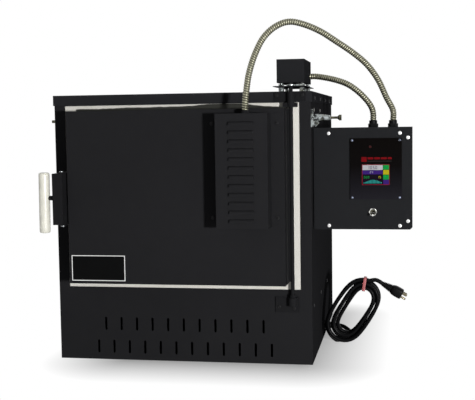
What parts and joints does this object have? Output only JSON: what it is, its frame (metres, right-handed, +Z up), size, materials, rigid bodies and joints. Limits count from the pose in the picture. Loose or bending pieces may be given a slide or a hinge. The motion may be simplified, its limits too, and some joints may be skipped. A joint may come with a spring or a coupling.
{
  "type": "bead annealing kiln",
  "caption": "Table-top electric kiln for annealing glass beads: black steel case lined with soft firebrick, side-hinged door, louvred element cover and a side control box.",
  "frame": {"origin": "centre of the case's base, on the surface the kiln stands on", "axes": "+Z up, -Y towards the person at the door, +X to the side of the control box"},
  "size_m": [0.78, 0.6782, 0.7281],
  "materials": {
    "case_black": "semi-gloss black powder coat",
    "cap_black": "semi-gloss black powder coat",
    "inner_steel": "bare galvanised steel",
    "black_screw": "black oxide",
    "steel_screw": "plain steel",
    "zinc": "bright zinc plate",
    "rod_black": "black painted steel rod",
    "firebrick": "soft insulating brick, dry and porous",
    "fibre": "ceramic fibre blanket",
    "element_wire": "oxidised resistance wire",
    "sheath": "ceramic sheath",
    "black_plastic": "moulded black plastic",
    "bezel": "printed black to violet film",
    "screen": "lit colour screen behind glass",
    "board": "green circuit board",
    "relay_case": "moulded relay housing",
    "lamp": "red lens",
    "chrome": "polished nickel",
    "conduit": "ribbed galvanised steel strip",
    "cord_black": "black cord jacket",
    "tie": "red tie",
    "blade": "plated brass",
    "label": "blank black plate with a pale border",
    "grip": "cream white"
  },
  "bodies": {
    "root": {"base_pan": "case_black", "case_wrap": "case_black", "case_front": "case_black", "top_cap": "cap_black", "case_screws": "black_screw", "brick_shelf": "inner_steel", "fibre_blanket": "fibre", "chamber_floor": "firebrick", "chamber_roof": "firebrick", "chamber_left_wall": "firebrick", "chamber_right_wall": "firebrick", "chamber_back_wall": "firebrick", "chamber_elements": "element_wire", "thermocouple": "sheath", "hinge_bracket_top": "case_black", "hinge_bracket_bottom": "case_black", "switch_plate": "case_black", "switch_bolts": "zinc", "switch_base": "case_black", "switch_cover": "case_black", "limit_switch": "black_plastic", "side_clip": "zinc", "side_bolts": "zinc", "control_box": "case_black", "box_spacers": "black_screw", "control_panel": "case_black", "panel_screws": "steel_screw", "display_bezel": "bezel", "bezel_screws": "black_screw", "touch_screen": "screen", "controller_board": "board", "relay": "relay_case", "status_lamp": "lamp", "toggle_switch": "chrome", "toggle_nut": "chrome", "conduit_fittings": "black_plastic", "switch_conduit": "conduit", "door_conduit": "conduit", "catch_plate": "zinc", "strain_relief": "black_plastic", "cord_lead": "cord_black", "cord_coil": "cord_black", "cord_tie": "tie", "cord_tail": "cord_black", "plug_body": "cord_black", "plug_blades": "blade"},
    "door": {"door_pan": "case_black", "door_bricks": "firebrick", "door_elements": "element_wire", "hinge_leaf": "case_black", "hinge_rod": "rod_black", "cam_arm": "zinc", "element_cover": "case_black", "door_screws": "black_screw", "data_plate": "label", "latch_bracket": "zinc", "latch_pin": "zinc"},
    "latch": {"latch_lever": "case_black", "handle_grip": "grip"},
    "toggle": {"toggle_lever": "chrome"}
  },
  "joints": [
    {"name": "door_swing", "type": "hinge", "parent": "root", "child": "door", "pos_m": [0.24, -0.286, 0.36], "axis": [0, 0, 1], "range_deg": [0, 105], "deforming": ["door_conduit"]},
    {"name": "latch_turn", "type": "hinge", "parent": "door", "child": "latch", "pos_m": [-0.24, -0.352, 0.361], "axis": [0, 0, 1], "range_deg": [0, 60]},
    {"name": "toggle_flip", "type": "hinge", "parent": "root", "child": "toggle", "pos_m": [0.4067, -0.2456, 0.324], "axis": [-1, 0, 0], "range_deg": [0, 36]}
  ]
}
